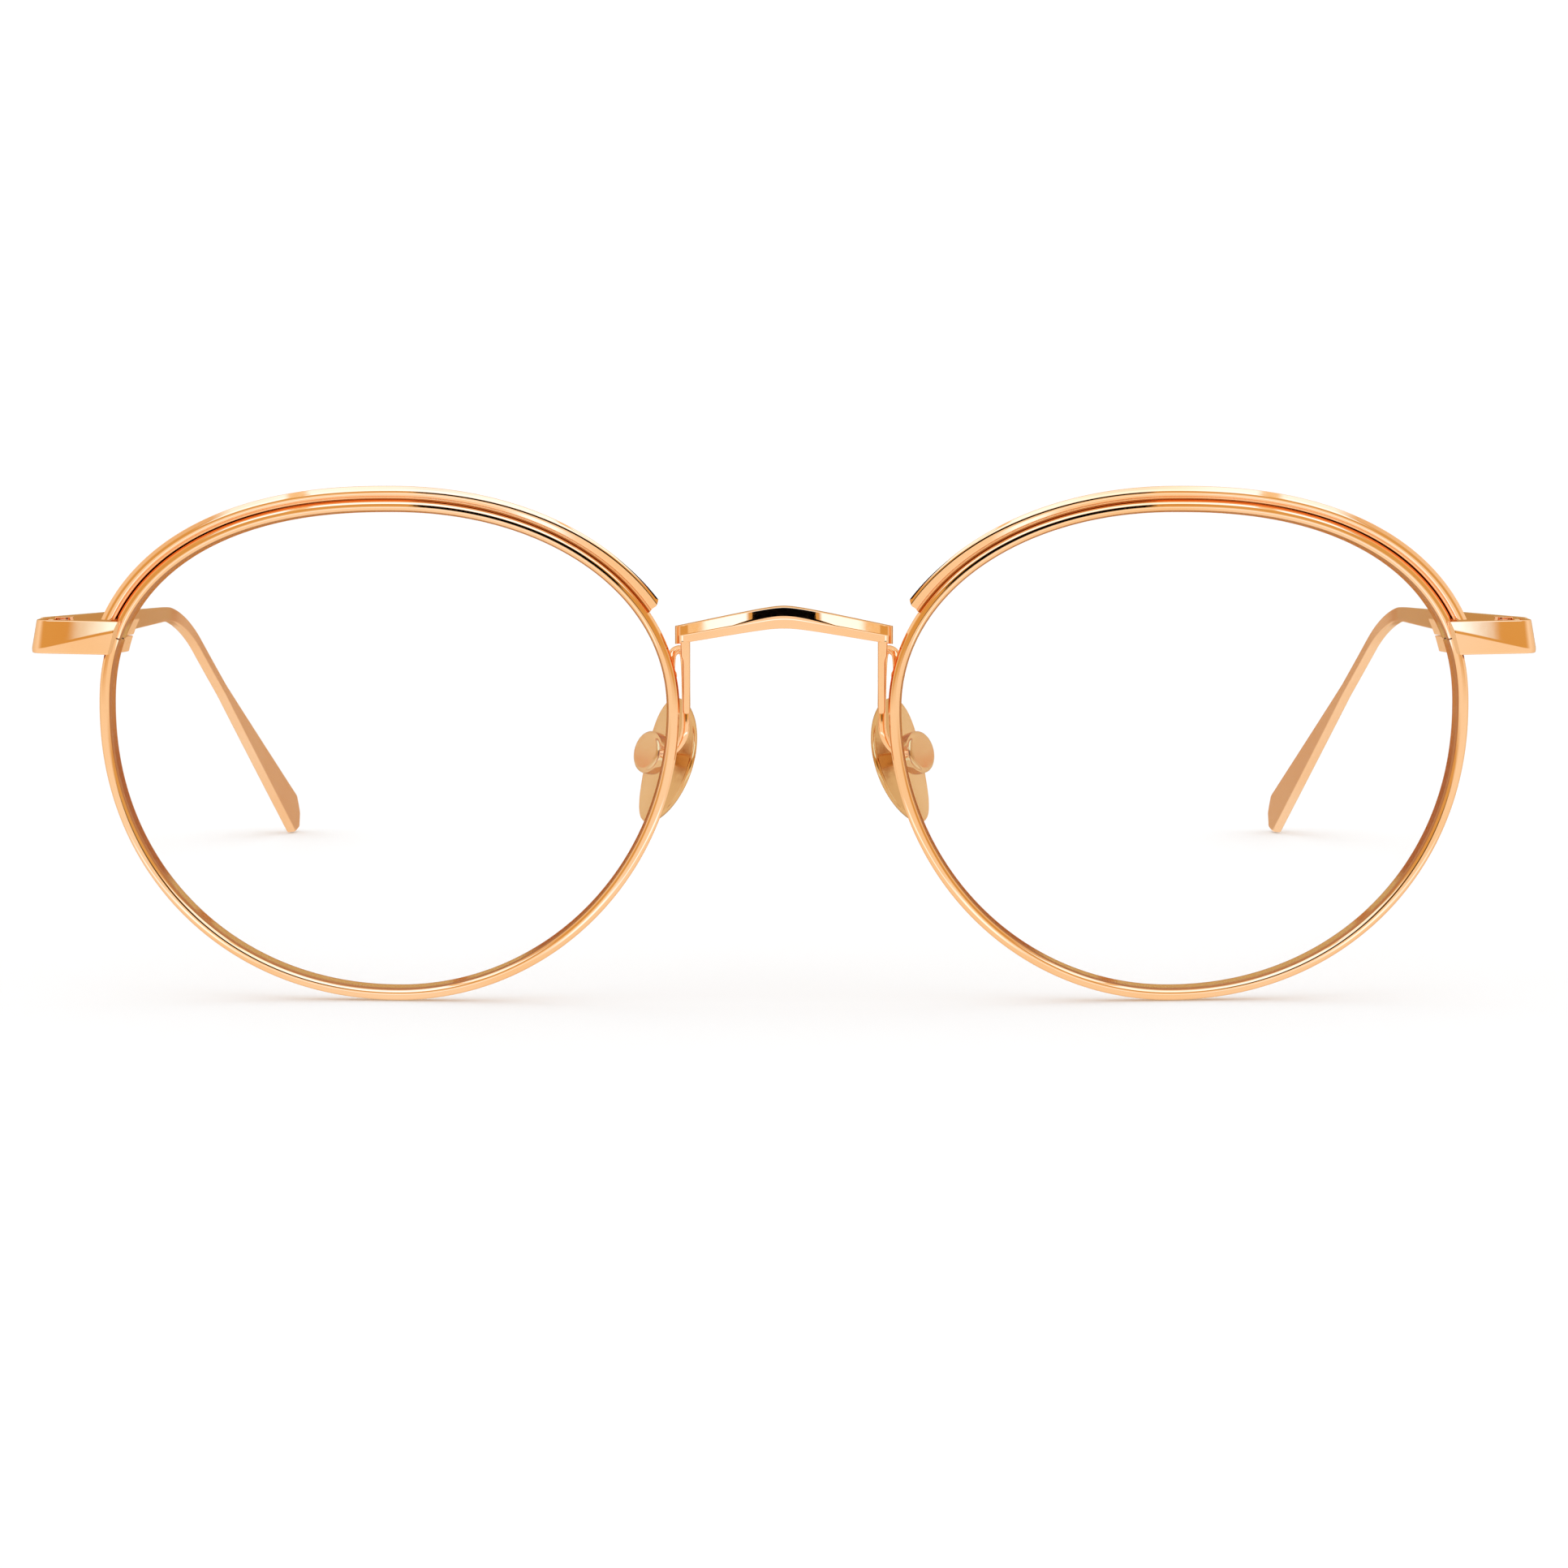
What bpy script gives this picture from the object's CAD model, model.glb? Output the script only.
import math

import bpy
import numpy as np
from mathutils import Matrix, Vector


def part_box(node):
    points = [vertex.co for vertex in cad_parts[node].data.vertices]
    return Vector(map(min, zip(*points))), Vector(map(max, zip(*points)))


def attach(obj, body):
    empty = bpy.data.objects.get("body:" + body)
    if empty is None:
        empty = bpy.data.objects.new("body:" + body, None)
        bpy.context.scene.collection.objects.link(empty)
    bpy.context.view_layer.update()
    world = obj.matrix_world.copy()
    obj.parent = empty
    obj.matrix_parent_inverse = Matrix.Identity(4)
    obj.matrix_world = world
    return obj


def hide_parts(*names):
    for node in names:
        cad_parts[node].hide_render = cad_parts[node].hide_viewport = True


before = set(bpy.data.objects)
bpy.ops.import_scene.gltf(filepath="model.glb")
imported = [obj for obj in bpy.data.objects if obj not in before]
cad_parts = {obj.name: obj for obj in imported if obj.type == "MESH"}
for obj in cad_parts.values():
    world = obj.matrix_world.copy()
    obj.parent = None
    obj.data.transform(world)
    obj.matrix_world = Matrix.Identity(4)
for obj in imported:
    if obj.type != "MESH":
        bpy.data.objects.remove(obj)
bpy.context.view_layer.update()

# Polished rose-gold eyeglasses. Every shape is worked out in millimetres in the maker's own axes (the
# front at y = 0, +X the wearer's left, the lens centres' height from the table), one side at +X and
# mirrored for the other, and is then carried to the frame's place and to metres.

MM = 0.001

# ---------------------------------------------------------------- sizes, in millimetres
LENS_CENTRE_X, LENS_CENTRE_Z = 35.2, 25.9
LENS_CURVE_RADIUS, LENS_THICKNESS = 132.0, 1.6
FACE_FORM = math.radians(4.0)
TEMPORAL_HALF, NASAL_HALF, TOP_HALF, BOTTOM_HALF = 26.5, 25.2, 18.4, 26.0
ROUNDNESS_TOP_TEMPORAL, ROUNDNESS_TOP_NASAL = 2.3, 2.08
ROUNDNESS_BOTTOM_NASAL, ROUNDNESS_BOTTOM_TEMPORAL = 2.0, 2.1
RIM_WIDTH, RIM_PROUD, RIM_DEPTH = 1.05, 0.45, 1.8
RIM_SPLIT_HALF = 0.06
BROW_WIDTH, BROW_PROUD, BROW_DEPTH = 1.1, 0.95, 3.2
BROW_NASAL_DEG, BROW_NASAL_SLANT_DEG, BROW_FOOT_GAP = 157.8, 1.5, 0.12
SOLDER_GAP = 0.03
SPLIT_ABOVE_CENTRE = 6.3
BRIDGE_BACK, BRIDGE_THICKNESS, BRIDGE_RIDGE = 1.02, 1.28, 0.40
BRIDGE_OVERHANG, BRIDGE_END_ROUND, RIDGE_FADE = 0.5, 0.8, 1.6
BRIDGE_CENTRE_Z, BRIDGE_SLOPE, BRIDGE_PEAK = 34.3, 0.2, 1.5
BRIDGE_CENTRE_HEIGHT, BRIDGE_END_HEIGHT = 2.0, 1.6
BRIDGE_BOW, BRIDGE_BOW_AHEAD, BRIDGE_CROWN, BRIDGE_CROWN_REACH = 0.8, 0.35, 0.3, 4.6
STRAP_WIDTH, STRAP_SHOULDER_WIDTH, STRAP_DEPTH, STRAP_SHOULDER_DROP = 0.64, 0.84, 1.84, 1.7
STRAP_TOP_X, STRAP_SINK, STRAP_FOOT_BELOW_CENTRE, STRAP_INSET = 9.2, 0.45, 0.38, 0.86
STRAP_NOTCH, STRAP_NOTCH_DROP, STRAP_FOOT_ROUND = 0.12, 1.15, 0.9
END_HEIGHT, END_THICKNESS, END_STANDOFF, END_LAP = 3.0, 1.1, 0.15, 0.57
CREASE_START, CREASE_FALL, FACE_STEEP_DEG, FACE_EASE_DEG = 0.42, 1.15, 25, 15
END_CORNER_BEYOND, END_BEND_RADIUS, END_SHEAR = 0.45, 1.35, 0.32
TEMPLE_BEYOND_RIM, HINGE_INSIDE_TEMPLE, HINGE_BEHIND_RIM = 6.43, 1.75, 4.5
HINGE_RADIUS, HINGE_GAP, BUTT_GAP, HEAD_SINK = 1.05, 0.06, 0.15, 0.35
PIN_RADIUS, SCREW_HEAD_RADIUS, LOCK_HEAD_RADIUS, SCREW_HEAD_HEIGHT = 0.5, 0.85, 0.65, 0.4
LEAF_THICKNESS, LEAF_LENGTH = 0.5, 4.5
LOCK_INNER, LOCK_OUTER, LOCK_DEPTH, LOCK_STANDOFF = -0.5, 1.9, 1.9, 0.12

MID_Z = LENS_CENTRE_Z + SPLIT_ABOVE_CENTRE
END_LOW, END_HIGH = MID_Z - END_HEIGHT / 2, MID_Z + END_HEIGHT / 2


def middle_of(node):
    low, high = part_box(node)
    return (low + high) / 2 / MM


# ---------------------------------------------------------------- meshes from grids

def unit(vectors):
    """Vectors divided by their lengths."""
    return vectors / np.maximum(np.linalg.norm(vectors, axis=-1, keepdims=True), 1e-12)


def grid_faces(rows, columns, wrap_rows, wrap_columns):
    """Four-cornered faces of a grid of points, whose rows or columns may close on themselves."""
    i, j = np.meshgrid(np.arange(rows if wrap_rows else rows - 1),
                       np.arange(columns if wrap_columns else columns - 1), indexing="ij")
    i, j = i.ravel(), j.ravel()
    k, m = (i + 1) % rows, (j + 1) % columns
    return np.stack([i * columns + j, k * columns + j, k * columns + m, i * columns + m], -1)


def turn_outwards(points, normals, quads):
    """True if the quads, taken together, face the way that their points' normals do."""
    corner = points[quads]
    across = np.cross(corner[:, 1] - corner[:, 0], corner[:, 3] - corner[:, 0])
    return np.sum(across * normals[quads[:, 0]]) >= 0


def turned_over(faces, normals):
    """Faces with their corners, and the corners' normals, in the opposite order."""
    ends = np.cumsum([len(face) for face in faces])
    order = np.concatenate([np.arange(end - 1, end - len(face) - 1, -1)
                            for face, end in zip(faces, ends)])
    return [face[::-1] for face in faces], normals[order]


def placed(name, data):
    """A new object in the scene."""
    thing = bpy.data.objects.new(name, data)
    bpy.context.scene.collection.objects.link(thing)
    return thing


class Shape:
    """Closed surfaces gathered into one piece: points, faces and a normal for each face corner."""

    def __init__(self):
        self.points, self.faces, self.normals, self.count = [], [], [], 0
        self.wall = None

    def add(self, points, faces, corner_normals):
        self.points.append(points.reshape(-1, 3))
        self.faces += [[int(v) + self.count for v in face] for face in faces]
        self.normals.append(corner_normals.reshape(-1, 3))
        self.count += len(self.points[-1])

    def carried(self, points, normals, wrap=False):
        """A grid (stations, section, 3) as a bar: its sides, and a flat cap at each end if it's open."""
        rows, columns = points.shape[:2]
        faces = grid_faces(rows, columns, wrap, True)
        flat, flat_normals = points.reshape(-1, 3), normals.reshape(-1, 3)
        if not turn_outwards(flat, flat_normals, faces):
            faces = faces[:, ::-1]
        corner_normals = [flat_normals[faces].reshape(-1, 3)]
        faces = faces.tolist()
        if not wrap:
            for row, other in ((0, 1), (rows - 1, rows - 2)):
                ring = list(range(row * columns, (row + 1) * columns))
                facing = unit(points[row].mean(0) - points[other].mean(0))
                loop = flat[ring]
                turning = np.cross(loop - loop.mean(0), np.roll(loop, -1, 0) - loop.mean(0)).sum(0)
                if np.dot(turning, facing) < 0:
                    ring = ring[::-1]
                faces.append(ring)
                corner_normals.append(np.repeat(unit(turning * np.sign(turning @ facing))[None],
                                                columns, 0))
        self.add(points, faces, np.concatenate(corner_normals))
        return self

    def disc(self, points, normals):
        """A grid (rings, turn, 3) from one pole to the other: the end rings are single points."""
        rows, columns = points.shape[:2]
        inner, inner_normals = points[1:-1], normals[1:-1]
        flat = np.concatenate([inner.reshape(-1, 3), points[:1, 0], points[-1:, 0]])
        flat_normals = np.concatenate([inner_normals.reshape(-1, 3), normals[:1, 0], normals[-1:, 0]])
        first, last = len(flat) - 2, len(flat) - 1
        turn = np.arange(columns)
        ahead = (turn + 1) % columns
        base = (rows - 3) * columns
        quads = grid_faces(rows - 2, columns, False, True)
        fan_a = np.stack([np.full(columns, first), turn, ahead], -1)
        fan_b = np.stack([np.full(columns, last), base + ahead, base + turn], -1)
        if not turn_outwards(flat, flat_normals, quads):
            quads, fan_a, fan_b = quads[:, ::-1], fan_a[:, ::-1], fan_b[:, ::-1]
        faces = quads.tolist() + fan_a.tolist() + fan_b.tolist()
        order = np.concatenate([quads.ravel(), fan_a.ravel(), fan_b.ravel()])
        self.add(flat, faces, flat_normals[order])
        return self

    def piece(self, name, mirrored, material, body, slot, nodes):
        """Puts the surfaces into a Blender object at their place in the frame."""
        points = np.concatenate(self.points)
        normals = np.concatenate(self.normals)
        faces = self.faces
        if mirrored:
            points = points * (-1, 1, 1)
            faces, normals = turned_over(faces, normals * (-1, 1, 1))
        points = (points + SHIFT) * MM
        mesh = bpy.data.meshes.new(name)
        mesh.from_pydata(points.tolist(), [], faces)
        mesh.polygons.foreach_set("use_smooth", np.ones(len(faces), bool))
        mesh.update()
        mesh.normals_split_custom_set(normals.tolist())
        mesh.materials.append(material)
        if self.wall is not None:
            mesh.attributes.new("wall", "FLOAT", "POINT").data.foreach_set("value", self.wall)
        piece = placed(name, mesh)
        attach(piece, body)
        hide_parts(*nodes)
        return piece


def oblong(a, b):
    """The corners of rectangles with half widths a and half heights b."""
    return np.stack([np.stack(np.broadcast_arrays(side * a, rise * b), -1)
                     for side, rise in ((-1, -1), (1, -1), (1, 1), (-1, 1))], -2)


def corner_runs(stations, *pairs):
    """Pairs (a, b), each a number or a value for every station, as polygons (stations, pairs, 2)."""
    return np.stack([np.stack([np.broadcast_to(value, stations) for value in pair], -1)
                     for pair in pairs], 1)


def rounded_section(corners, radii, steps=5):
    """Polygons (stations, corners, 2), whichever way round, with each corner an arc of its radius.

    Each arc touches its two sides: it starts radius * tan(half the turn) before the corner, and its
    points are its centre plus the radius times the side's outward normal, turned step by step. Gives
    points and outward normals, both (stations, corners * (steps + 1), 2)."""
    before = unit(corners - np.roll(corners, 1, 1))
    after = unit(np.roll(corners, -1, 1) - corners)
    turn = np.arctan2(before[..., 0] * after[..., 1] - before[..., 1] * after[..., 0],
                      (before * after).sum(-1))
    radii = np.broadcast_to(np.asarray(radii, float), turn.shape)
    trim = radii * np.tan(np.abs(turn) / 2)
    side = np.sign(turn)[..., None]
    out = np.stack([before[..., 1], -before[..., 0]], -1)
    centre = corners - before * trim[..., None] - out * side * radii[..., None]
    share = np.linspace(0, 1, steps + 1)
    angle = turn[..., None] * share
    c, s = np.cos(angle), np.sin(angle)
    normal = np.stack([out[..., None, 0] * c - out[..., None, 1] * s,
                       out[..., None, 0] * s + out[..., None, 1] * c], -1)
    points = centre[..., None, :] + normal * (side * radii[..., None])[..., None, :]
    normal = normal * np.sign(turn.sum(1))[:, None, None, None]
    shape = (corners.shape[0], -1, 2)
    return points.reshape(shape), normal.reshape(shape)


def bar(origin, axis_a, axis_b, corners, radii, end_round=0.0, steps=5):
    """A rounded section carried along stations, as a grid of points and normals.

    A point is origin + a * axis_a + b * axis_b, where an axis may be one for all the stations. With
    end_round the section shrinks over a quarter circle of that radius at both ends, so that the ends
    have a soft edge."""
    stations = len(origin)
    axis_a, axis_b = np.broadcast_to(axis_a, (stations, 3)), np.broadcast_to(axis_b, (stations, 3))
    corners = np.broadcast_to(corners, (stations,) + np.shape(corners)[-2:])
    section, lean = rounded_section(corners, radii, steps)
    facing, share = np.zeros((stations, 1, 3)), np.zeros((stations, 1, 1))
    if end_round:
        turn = np.linspace(0, math.pi / 2, 5)
        middle = corners.mean(1, keepdims=True)
        reach = np.abs(section - middle).max((1, 2), keepdims=True)
        first, last = unit(origin[0] - origin[1]), unit(origin[-1] - origin[-2])
        sunk = end_round * (1 - np.cos(turn))[:, None]
        drawn_in = end_round * (1 - np.sin(turn))[:, None, None]
        between = np.ones((stations - 2, 1, 1))
        scale = np.concatenate([1 - drawn_in / reach[0], between, 1 - drawn_in[::-1] / reach[-1]])
        share = np.cos(turn)[:, None, None]
        share = np.concatenate([share, 0 * between, share[::-1]])
        facing = np.concatenate([np.tile(first, (5, 1)), np.zeros((stations - 2, 3)),
                                 np.tile(last, (5, 1))])[:, None]
        origin = np.concatenate([origin[0] - first * sunk, origin[1:-1], origin[-1] - last * sunk[::-1]])
        pick = np.concatenate([np.zeros(5, int), np.arange(1, stations - 1),
                               np.full(5, stations - 1)])
        section = middle[pick] + (section - middle)[pick] * scale
        lean, axis_a, axis_b = lean[pick], axis_a[pick], axis_b[pick]
    a, b = axis_a[:, None], axis_b[:, None]
    points = origin[:, None] + section[..., :1] * a + section[..., 1:] * b
    normals = lean[..., :1] * a + lean[..., 1:] * b
    return points, unit(normals * np.sqrt(1 - share ** 2) + facing * share)


def add_bar(shape, *args, wrap=False, **kwargs):
    points, normals = bar(*args, **kwargs)
    return shape.carried(points, normals, wrap)


def add_lathe(shape, centre, axis, radius_height, turns=48):
    """A profile of (radius, height) points turned round an axis; it starts and ends at radius 0."""
    axis = unit(np.asarray(axis, float))
    side = unit(np.cross(axis, (0.31, 0.95, 0.07)))
    other = np.cross(axis, side)
    profile = np.asarray(radius_height, float)
    angle = np.linspace(0, 2 * math.pi, turns, endpoint=False)
    ring = np.cos(angle)[:, None] * side + np.sin(angle)[:, None] * other
    points = np.asarray(centre) + profile[:, :1, None] * ring + profile[:, 1:, None] * axis
    step = np.gradient(profile, axis=0)
    lean = unit(np.stack([step[:, 1], -step[:, 0]], -1))
    if (lean[:, 0] * profile[:, 0]).sum() < 0:
        lean = -lean
    normals = lean[:, :1, None] * ring + lean[:, 1:, None] * axis
    normals[0] = axis * np.sign(profile[0, 1] - profile[len(profile) // 2, 1])
    normals[-1] = axis * np.sign(profile[-1, 1] - profile[len(profile) // 2, 1])
    return shape.disc(points, normals)


def soft_disc_profile(radius, low, high, edge):
    """Half the outline of a round-edged cylinder from its foot's centre to its top's centre."""
    quarter = np.linspace(0, math.pi / 2, 6)
    foot = np.stack([radius - edge + edge * np.sin(quarter), low + edge - edge * np.cos(quarter)], -1)
    top = np.stack([radius - edge + edge * np.cos(quarter), high - edge + edge * np.sin(quarter)], -1)
    flat = radius - edge
    inner = np.array([0.0, 0.5, 0.97])[:, None] * (flat, 0)
    under = inner + (0, low)
    over = inner[::-1] + (0, high)
    return np.concatenate([under, foot, top, over])


# ---------------------------------------------------------------- lens outline

def outline(angle):
    """The rim's middle line as quarter superellipses: radius = (|cos/a|^n + |sin/b|^n)^(-1/n).

    Gives u (towards the temple), w (up) and the outward normal, which is that power law's slope."""
    c, s = np.cos(angle), np.sin(angle)
    half_u = np.where(c >= 0, TEMPORAL_HALF, NASAL_HALF)
    half_w = np.where(s >= 0, TOP_HALF, BOTTOM_HALF)
    top = np.where(c >= 0, ROUNDNESS_TOP_TEMPORAL, ROUNDNESS_TOP_NASAL)
    bottom = np.where(c >= 0, ROUNDNESS_BOTTOM_TEMPORAL, ROUNDNESS_BOTTOM_NASAL)
    power = np.where(s >= 0, top, bottom)
    radius = (np.abs(c / half_u) ** power + np.abs(s / half_w) ** power) ** (-1 / power)
    slope = np.stack([np.sign(c) * np.abs(radius * c / half_u) ** (power - 1) / half_u,
                      np.sign(s) * np.abs(radius * s / half_w) ** (power - 1) / half_w], -1)
    slope = unit(slope)
    return radius * c, radius * s, slope[..., 0], slope[..., 1]


def smoothed(values, wrap, passes=12):
    """Evens out small jumps in curvature where two quarters meet, by repeated 1-2-1 averages."""
    for _ in range(passes):
        if wrap:
            values = (np.roll(values, 1, 0) + 2 * values + np.roll(values, -1, 0)) / 4
        else:
            values = np.concatenate([values[:1], (values[:-2] + 2 * values[1:-1] + values[2:]) / 4,
                                     values[-1:]])
    return values


def to_glasses(vectors, is_point=True):
    """From a lens's own axes (temporal, back, up) to the glasses' axes on the +X side."""
    u, v, w = vectors[..., 0], vectors[..., 1], vectors[..., 2]
    x = u * math.cos(FACE_FORM) - v * math.sin(FACE_FORM)
    y = u * math.sin(FACE_FORM) + v * math.cos(FACE_FORM)
    moved = np.stack([x, y, w], -1)
    return moved + (LENS_CENTRE_X, 0, LENS_CENTRE_Z) if is_point else moved


def rim_frame(angle, wrap=False):
    """Origin on the lens's front sphere, the direction out from the rim and the direction back."""
    u, w, normal_u, normal_w = outline(angle)
    radius = LENS_CURVE_RADIUS
    forward = np.sqrt(radius ** 2 - u ** 2 - w ** 2)
    front = np.stack([u, -forward, w], -1) / radius
    outward = np.stack([normal_u, np.zeros_like(u), normal_w], -1)
    outward = smoothed(outward, wrap)
    outward = unit(outward - front * (outward * front).sum(-1, keepdims=True))
    origin = np.stack([u, radius - forward, w], -1)
    return to_glasses(origin), to_glasses(outward, False), to_glasses(-front, False)


def rim_point(angle_deg, out, back):
    origin, outward, rear = rim_frame(np.radians(np.array([float(angle_deg)])))
    return (origin + outward * out + rear * back)[0]


def outer_angle_at(height):
    """Angle, in degrees, at which the rim's outer side lies at a height above the lens centre."""
    angle = np.radians(np.linspace(0, 60, 6001))
    return math.degrees(np.interp(height, outline(angle)[1], angle))


SPLIT_DEG = outer_angle_at(SPLIT_ABOVE_CENTRE)
RIM_OUTER = rim_point(SPLIT_DEG, RIM_WIDTH / 2, 0)
RIM_NASAL = rim_point(180.0, RIM_WIDTH / 2, -RIM_PROUD)
TEMPLE_X = RIM_OUTER[0] + TEMPLE_BEYOND_RIM
HINGE_X = TEMPLE_X - HINGE_INSIDE_TEMPLE
HINGE_Y = RIM_OUTER[1] + HINGE_BEHIND_RIM
STRAP_OUTER_X = RIM_NASAL[0] - SOLDER_GAP
BRIDGE_BACK_Y = RIM_NASAL[1] + BRIDGE_BACK

# Where the maker's axes lie in the frame.
SHIFT = np.array([0.0, middle_of("left_hinge_screw").y - HINGE_Y, middle_of("left_endpiece").z - MID_Z])


def round_rim(corners, radii, first_deg, last_deg, stations, foot=None, steps=4):
    """A rounded section (out, back) carried round the rim. With a foot height its first end is cut
    level there, by starting each of its lengthwise lines at its own angle; and the last end is
    slanted if its inner and its outer edge are given an angle each."""
    corners = np.broadcast_to(corners, (stations,) + np.shape(corners)[-2:])
    section, lean = rounded_section(corners, radii, steps)
    share = np.linspace(0, 1, stations)[:, None]
    start = np.full(section.shape[1], math.radians(first_deg))
    if foot is not None:
        fine = np.radians(np.linspace(5, 60, 1200))
        spot, out_way, back_way = rim_frame(fine)
        heights = (spot[:, None, 2] + section[0, :, 0] * out_way[:, None, 2]
                   + section[0, :, 1] * back_way[:, None, 2])
        start = np.array([np.interp(foot, heights[:, k], fine) for k in range(section.shape[1])])
    spread = np.array([section[0, :, 0].min(), section[0, :, 0].max()])
    end = np.radians(np.interp(section[0, :, 0], spread, np.broadcast_to(last_deg, 2)))
    angle = start + share * (end - start)
    origin, out_way, back_way = rim_frame(angle)
    points = origin + section[..., :1] * out_way + section[..., 1:] * back_way
    normals = unit(lean[..., :1] * out_way + lean[..., 1:] * back_way)
    return points, normals


# ---------------------------------------------------------------- front pieces

def eyewire_shape():
    """A grooved band round the lens: a domed face with soft shoulders, and a V groove inside."""
    half, front, rear = RIM_WIDTH / 2, -RIM_PROUD, RIM_DEPTH - RIM_PROUD
    corners = np.array([
        (half, rear), (half, front + 0.34), (half - 0.3, front + 0.03), (0.22 - half, front),
        (-half, front + 0.26), (-half, 0.3), (0.0, 0.75), (-half, 1.2), (-half, rear)])
    radii = [0.12, 0.3, 0.5, 0.42, 0.2, 0.06, 0.08, 0.06, 0.12]
    gap = math.degrees(RIM_SPLIT_HALF / TEMPORAL_HALF)
    points, normals = round_rim(corners, radii, SPLIT_DEG + gap, SPLIT_DEG + 360 - gap, 481, steps=5)
    shape = Shape().carried(points, normals)
    section, lean = rounded_section(corners[None], radii, 5)
    wall = np.clip((-lean[0, :, 0] - 0.75) / 0.2, 0, 1) * (section[0, :, 0] < 0.1 - half)
    wall = np.maximum(wall, (section[0, :, 1] > 0.25) & (section[0, :, 1] < 1.25) & (section[0, :, 0] < 0.1))
    shape.wall = np.tile(wall, len(points)).astype(float)
    return shape


def brow_shape():
    """A deep bar over the rim, with a bead along its lower edge. Its face has an upper and a lower
    facet that meet in a soft ridge, and the ridge runs from near the inner edge at the temple to the
    outer edge beside the bridge."""
    stations = 241
    share = np.linspace(0, 1, stations)
    inner = RIM_WIDTH / 2 + SOLDER_GAP
    outer = inner + BROW_WIDTH
    ridge = inner + 0.14 + (BROW_WIDTH - 0.14) * (0.34 + 0.08 * share + 0.48 * share ** 4)
    rear = BROW_DEPTH - BROW_PROUD
    corners = corner_runs(
        stations, (inner, rear), (inner, -RIM_PROUD - 0.02), (inner + 0.07, -RIM_PROUD - 0.13),
        (inner + 0.15, -RIM_PROUD - 0.06), (inner + 0.19, -RIM_PROUD - 0.3), (ridge, -BROW_PROUD),
        (outer, -BROW_PROUD + 0.42 * (outer - ridge) + 0.04), (outer, rear))
    radii = [0.15, 0.04, 0.05, 0.02, 0.05, 0.55, 0.08, 0.15]
    points, normals = round_rim(corners, radii, SPLIT_DEG,
                                (BROW_NASAL_DEG + BROW_NASAL_SLANT_DEG, BROW_NASAL_DEG), stations,
                                foot=END_HIGH + BROW_FOOT_GAP, steps=6)
    return Shape().carried(points, normals)


def lens_shape():
    """Two spheres about one centre, cut off at the rim: back = depth, at a share of the outline."""
    turn = np.linspace(0, 2 * math.pi, 256, endpoint=False)
    u, w, _, _ = outline(turn)
    inset = 1 - (RIM_WIDTH / 2 - 0.12) / np.hypot(u, w)
    share = np.sin(np.linspace(0, math.pi / 2, 20))
    radius = LENS_CURVE_RADIUS
    grid_u = share[:, None] * (u * inset)
    grid_w = share[:, None] * (w * inset)
    forward = np.sqrt(radius ** 2 - grid_u ** 2 - grid_w ** 2)
    front = np.stack([grid_u, -forward, grid_w], -1) / radius
    points, normals = [], []
    for back, sign, order in ((0.02, 1, slice(None)), (LENS_THICKNESS - 0.02, -1, slice(None, None, -1))):
        spot = np.stack([grid_u, radius - forward, grid_w], -1) - front * back
        points.append(spot[order])
        normals.append(sign * front[order])
    points = to_glasses(np.concatenate(points))
    normals = to_glasses(np.concatenate(normals), False)
    return Shape().disc(points, normals)


def bridge_middle_z(x):
    """A hyperbola: two straight falls joined by a rounded peak."""
    return BRIDGE_CENTRE_Z - BRIDGE_SLOPE * (np.hypot(x, BRIDGE_PEAK) - BRIDGE_PEAK)


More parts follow.
